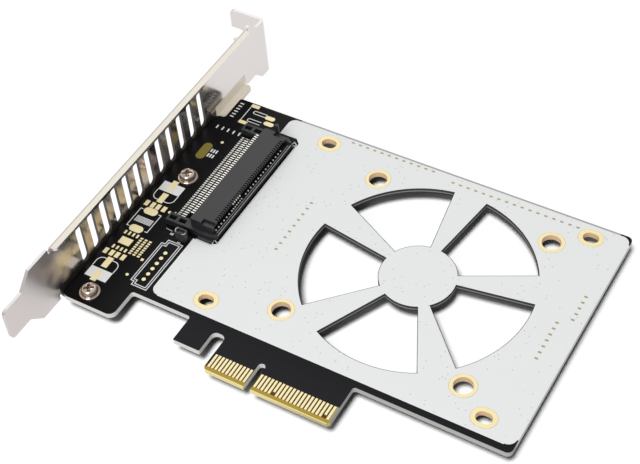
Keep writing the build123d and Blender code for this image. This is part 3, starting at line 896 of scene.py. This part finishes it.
class CARD_OT_make_small_part(bpy.types.Operator):
    """Make the small dark part beside the socket's ear, two pale strips of painted highlight on
    its ends, and its pads
    """

    bl_idname = "card.make_small_part"
    bl_label = "Make small part"

    def execute(self, context):
        sizes = context.scene.card_sizes
        high = sizes.part_height
        well = high - 0.5
        # Body with a well in its top: half length, half width, corner radius, height
        body = [
            (0, 0, 0, 0.0),
            (1.75, 1.05, 0.7, 0.0),
            (1.75, 1.05, 0.7, high - 0.12),
            (1.68, 0.98, 0.64, high),
            (1.15, 0.5, 0.3, high),
            (1.1, 0.45, 0.28, well),
            (0, 0, 0, well),
        ]
        grids = stacked_outlines(body, [SMALL_PART_CENTRE], 6)
        grid_object("small_part", grids, finish_for(context, "body"), False)
        # Two pale strips along the top's ends: painted highlights
        far_rim = [(-1.3, 0.8), (-1.66, 0.1), (-1.2, -0.7)]
        near_rim = [(0.9, -0.9), (1.45, -0.6), (1.64, -0.1)]
        rims = [
            carried_strip(np.add(SMALL_PART_CENTRE, rim), 0.12, high, high + 0.04)
            for rim in (far_rim, near_rim)
        ]
        joined("small_part_highlights", rims, finish_for(context, "tip"))
        lead = carried_strip([(-60.95, -15.3), (-58.9, -15.5)], 0.16, 0.0, 0.12)
        pad = plate(1.0, 0.7, 0.1, 0.0, sizes.pad_height, 0.04)
        pads = stacked_outlines(pad, [(-58.5, -16.35), (-55.2, -18.2)], 3)
        tin = finish_for(context, "rim")
        joined("small_part_feet", [lead, pads], tin)
        return {"FINISHED"}


class CARD_OT_make_print(bpy.types.Operator):
    """Make the printed outlines and blocks beside the pads, and the bare oval window"""

    bl_idname = "card.make_print"
    bl_label = "Make print"

    def execute(self, context):
        sizes = context.scene.card_sizes
        ink = finish_for(context, "ink")
        high = sizes.print_height
        width = sizes.line_width
        lines = []

        def line(*path):
            lines.append(carried_strip(path, width, 0.0, high))

        # Round ends of the two capacitors' outlines
        left, right, bend = -71.05, -64.55, 1.6
        for edge_y, way in ((-34.4, 1), (-4.3, -1)):
            middle = edge_y + way * 1.8
            line(
                (left, edge_y),
                *arc((left + bend, middle), bend, 180, 180 - way * 90, 6),
                *arc((right - bend, middle), bend, 180 - way * 90, 180 - way * 180, 6),
                (right, edge_y),
            )

        # Two facing brackets round the inductor's place
        for edge_x, hook_x in ((-71.2, -70.4), (-64.7, -65.5)):
            line((hook_x, -12.3), (edge_x, -12.3), (edge_x, -18.9), (hook_x, -18.9))

        # Double outline round the row of test pads
        outer = [(-59.2, -20.0), (-58.1, -20.0), (-58.1, -18.5), (-53.7, -18.5), (-53.7, -35.2)]
        outer += [(-58.2, -35.2), (-58.2, -34.0), (-59.2, -34.0)]
        line(*outer, (-59.2, -19.9))
        inner = [(-58.6, -20.6), (-57.5, -20.6), (-57.5, -19.1), (-54.3, -19.1), (-54.3, -34.6)]
        inner += [(-57.6, -34.6), (-57.6, -33.4), (-58.6, -33.4)]
        line(*inner, (-58.6, -20.5))

        # A bar and two long loops at the header's place
        line((-65.4, 28.3), (-65.4, 33.7))
        loop = 0.55
        for middle in (29.1, 32.4):
            line(
                (-59.4, middle + loop),
                *arc((-63.1, middle), loop, 90, 270, 7),
                (-59.4, middle - loop),
            )

        # Two sides of the socket's outline, with an arrowhead at each end of the long one
        line((-52.0, -14.9), (-46.4, -14.9))
        line((-45.95, -14.3), (-45.95, 26.3))
        for tip_y, way in ((-12.95, -1), (25.3, 1)):
            line(
                (-45.8, tip_y + way * 0.9),
                (-47.5, tip_y),
                (-47.1, tip_y + way * 1.8),
                (-45.8, tip_y + way * 0.9),
            )

        # Plain rows between the inductor's pads
        for y in -14.9 - 0.42 * np.arange(5):
            line((-70.45, y), (-65.3, y))
        joined("printed_lines", lines, ink)
        block = plate(6.6, 3.4, 0.05, 0.0, high, 0.03)
        places = [(-67.8, -36.2), (-67.8, -2.7)]
        grid_object("printed_blocks", stacked_outlines(block, places, 2), ink, False)
        bar = plate(0.45, 1.3, 0.1, 0.0, high, 0.05)
        places = [(x, 23.0) for x in np.linspace(-69.8, -62.6, 5)]
        places += [(x, -10.0) for x in (-61.9, -61.0)]
        places += [(x, y) for x in (-66.0, -65.2, -64.4) for y in (12.4, 14.3)]
        grid_object("date_marks", stacked_outlines(bar, places, 3), ink, False)
        bar = plate(1.2, 0.4, 0.1, 0.0, high, 0.05)
        places = [(-68.4, y) for y in np.linspace(28.3, 33.9, 6)]
        grid_object("header_marks", stacked_outlines(bar, places, 3), ink, False)
        window = plate(2.7, 6.4, 1.3, 0.0, 0.012, 0.05)
        bare = finish_for(context, "laminate")
        oval = stacked_outlines(window, [(-67.9, 13.3)], 8)
        grid_object("bare_window", oval, bare)
        return {"FINISHED"}


class CARD_OT_make_screws(bpy.types.Operator):
    """Make the domed cross-recess screws on their washers"""

    bl_idname = "card.make_screws"
    bl_label = "Make screws"

    def execute(self, context):
        sizes = context.scene.card_sizes
        metal = finish_for(context, "screw")
        head_radius = sizes.screw_head / 2
        base = sizes.washer_thickness
        shank_radius, shank_end = 1.45, -4.5
        count = 96
        angle = np.linspace(0, 2 * np.pi, count, endpoint=False)

        # The head stands brim + (dome - brim) * (1 - s^3.2)^0.5 over its washer at a share s of
        # its radius, less the recess.
        brim = 0.25
        share = np.r_[0, np.linspace(0.03, 0.9, 40), 0.94, 0.97, 0.985, 1.0]
        swell = np.sqrt(np.maximum(1 - share**3.2, 0))
        height = base + brim + (sizes.screw_dome - brim) * swell
        x = (share * head_radius)[:, None] * np.cos(angle)
        y = (share * head_radius)[:, None] * np.sin(angle)

        # The recess is a cross of two bars, whose depth fades toward their ends and sides, with
        # a deeper core.
        turn = np.radians(35)
        along = x * np.cos(turn) + y * np.sin(turn)
        over = -x * np.sin(turn) + y * np.cos(turn)

        def fade(distance, reach, slope):
            return np.clip((reach - np.abs(distance)) / slope, 0, 1)

        def bar(length, across):
            return fade(length, 1.42, 0.25) * fade(across, 0.46, 0.14)

        cross = np.maximum(bar(along, over), bar(over, along))
        core = fade(np.hypot(x, y), 0.95, 0.3)
        depth = (0.75 + 0.25 * core) * cross

        top = np.stack([x, y, height[:, None] - depth], axis=-1)
        skirt = [(head_radius, base + 0.03), (head_radius - 0.05, base), (shank_radius, base)]
        skirt += [(shank_radius, shank_end), (0.0, shank_end)]
        under = [
            np.stack([ring * np.cos(angle), ring * np.sin(angle), np.full(count, level)], axis=-1)
            for ring, level in skirt
        ]
        head = np.concatenate([top, np.stack(under)])
        heads = grid_object("screws", copies(head, SCREW_PLACES), metal)
        heads.modifiers.new("creases", "EDGE_SPLIT").split_angle = np.radians(38)

        outer = sizes.washer_diameter / 2
        rim, bore = 0.08, 1.6
        washer = [
            (outer - rim, outer - rim, outer - rim, 0.0),
            (outer, outer, outer, rim),
            (outer, outer, outer, base - rim),
            (outer - rim, outer - rim, outer - rim, base),
            (bore, bore, bore, base),
            (bore, bore, bore, 0.0),
            (outer - rim, outer - rim, outer - rim, 0.0),
        ]
        rings = stacked_outlines(washer, SCREW_PLACES, 16)
        grid_object("screw_washers", rings, metal, False)
        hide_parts("bracket_screws")
        return {"FINISHED"}


def matrix_from(x_axis, y_axis, z_axis, place):
    """Matrix of an object from its three axes and its place."""
    matrix = Matrix.Identity(4)
    for column, axis in enumerate((x_axis, y_axis, z_axis, place)):
        for row in range(3):
            matrix[row][column] = axis[row]
    return matrix


def aimed_lamp(scene, name, place, size, power):
    """A round lamp at a place in the frame, turned to face the card."""
    light = bpy.data.lights.new(name, "AREA")
    light.shape = "DISK"
    light.size = size
    light.energy = power
    lamp = bpy.data.objects.new(name, light)
    scene.collection.objects.link(lamp)
    away = np.array(place) / np.linalg.norm(place)
    side = np.cross((0, 0, 1), away)
    side /= np.linalg.norm(side)
    lamp.matrix_world = matrix_from(side, np.cross(away, side), away, place)
    return lamp


class CARD_OT_set_studio(bpy.types.Operator):
    """Set the pale floor, the soft lamps and the camera at the photograph's angle"""

    bl_idname = "card.set_studio"
    bl_label = "Set studio"

    def execute(self, context):
        scene = context.scene
        studio = scene.card_studio
        half = studio.floor_size / 2
        mesh = bpy.data.meshes.new("floor")
        corners = [(-half, -half, 0), (half, -half, 0), (half, half, 0), (-half, half, 0)]
        mesh.from_pydata(corners, [], [(0, 1, 2, 3)])
        floor = bpy.data.objects.new("floor", mesh)
        scene.collection.objects.link(floor)
        finish = Finish("floor_paper")
        rays = [
            finish.node("ShaderNodeLightPath", {}, (), f"Is {kind} Ray")
            for kind in ("Camera", "Glossy", "Transmission")
        ]
        seen = rays[0].either(rays[1]).either(rays[2])
        shade = finish.mix(seen, (studio.floor_shade,) * 3, (studio.floor_seen,) * 3)
        paper = finish.node("ShaderNodeBsdfDiffuse", {}, {"Color": shade})
        finish.node("ShaderNodeOutputMaterial", {}, {"Surface": paper})
        mesh.materials.append(finish.material)

        world = bpy.data.worlds.new("pale_room")
        world.use_nodes = True
        room = world.node_tree.nodes["Background"]
        room.inputs["Color"].default_value = (1, 1, 1, 1)
        room.inputs["Strength"].default_value = studio.room
        scene.world = world

        aimed_lamp(scene, "key_lamp", (0.05, -0.85, 0.76), 0.6, studio.key_power)
        aimed_lamp(scene, "back_lamp", (-0.42, 0.61, 0.82), 1.0, studio.back_power)
        high_place = (0.138, -0.985, 2.3)
        floor_lamp = aimed_lamp(scene, "floor_lamp", high_place, 0.8, studio.floor_power)

        # The high lamp lights the floor alone, and the bracket casts no shadow in its light, so
        # the floor stays white behind the vents.
        floor_only = bpy.data.collections.new("floor_only")
        floor_only.objects.link(floor)
        floor_lamp.light_linking.receiver_collection = floor_only
        all_but_bracket = bpy.data.collections.new("all_but_bracket")
        all_but_bracket.objects.link(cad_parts["bracket"])
        all_but_bracket.collection_objects[0].light_linking.link_state = "EXCLUDE"
        floor_lamp.light_linking.blocker_collection = all_but_bracket

        # The camera's turn, tilt, roll and distance, and the card's place in its view, in card
        # millimetres, as fitted to the photograph
        turn, tilt, roll = np.radians([34.485, 47.928, -5.797])
        aside, above, distance = -20.08, 9.25, 361.193
        right = np.array([np.cos(turn), np.sin(turn), 0])
        back = np.array([np.sin(turn) * np.cos(tilt), -np.cos(turn) * np.cos(tilt), np.sin(tilt)])
        up = np.cross(back, right)
        across = np.cos(roll) * right + np.sin(roll) * up
        upward = -np.sin(roll) * right + np.cos(roll) * up
        eye = aside * across + above * upward + distance * back
        lens = bpy.data.cameras.new("camera")
        lens.sensor_width = 36
        lens.lens = 80.83
        lens.clip_start = 0.01
        camera = bpy.data.objects.new("camera", lens)
        scene.collection.objects.link(camera)
        camera.matrix_world = matrix_from(across, upward, back, to_frame(eye))
        scene.camera = camera
        scene.view_settings.view_transform = "Standard"
        return {"FINISHED"}


class CARD_PT_looks(bpy.types.Panel):
    """Lists the steps that make the card's pieces, and the sizes, colours and studio settings"""

    bl_idname = "CARD_PT_looks"
    bl_label = "Adapter card"
    bl_space_type = "VIEW_3D"
    bl_region_type = "UI"
    bl_category = "Card"

    def draw(self, context):
        for step in STEPS:
            self.layout.operator(step.bl_idname)
        scene = context.scene
        for group in (scene.card_sizes, scene.card_colours, scene.card_studio):
            box = self.layout.box()
            for name in group.__annotations__:
                box.prop(group, name)


GROUPS = (CardSizes, CardColours, StudioSettings)
STEPS = (
    CARD_OT_dress_board,
    CARD_OT_dress_socket,
    CARD_OT_dress_bracket,
    CARD_OT_make_round_pads,
    CARD_OT_make_lead_joints,
    CARD_OT_make_contact_tips,
    CARD_OT_make_socket_edges,
    CARD_OT_make_small_part,
    CARD_OT_make_print,
    CARD_OT_make_screws,
    CARD_OT_set_studio,
)


def register():
    for entry in (*GROUPS, *STEPS, CARD_PT_looks):
        bpy.utils.register_class(entry)
    bpy.types.Scene.card_sizes = PointerProperty(type=CardSizes)
    bpy.types.Scene.card_colours = PointerProperty(type=CardColours)
    bpy.types.Scene.card_studio = PointerProperty(type=StudioSettings)


def unregister():
    del bpy.types.Scene.card_studio
    del bpy.types.Scene.card_colours
    del bpy.types.Scene.card_sizes
    for entry in reversed((*GROUPS, *STEPS, CARD_PT_looks)):
        bpy.utils.unregister_class(entry)


def main():
    """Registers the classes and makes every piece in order."""
    register()
    bpy.ops.card.dress_board()
    bpy.ops.card.dress_socket()
    bpy.ops.card.dress_bracket()
    bpy.ops.card.make_round_pads()
    bpy.ops.card.make_lead_joints()
    bpy.ops.card.make_contact_tips()
    bpy.ops.card.make_socket_edges()
    bpy.ops.card.make_small_part()
    bpy.ops.card.make_print()
    bpy.ops.card.make_screws()
    bpy.ops.card.set_studio()


if __name__ == "__main__":
    main()
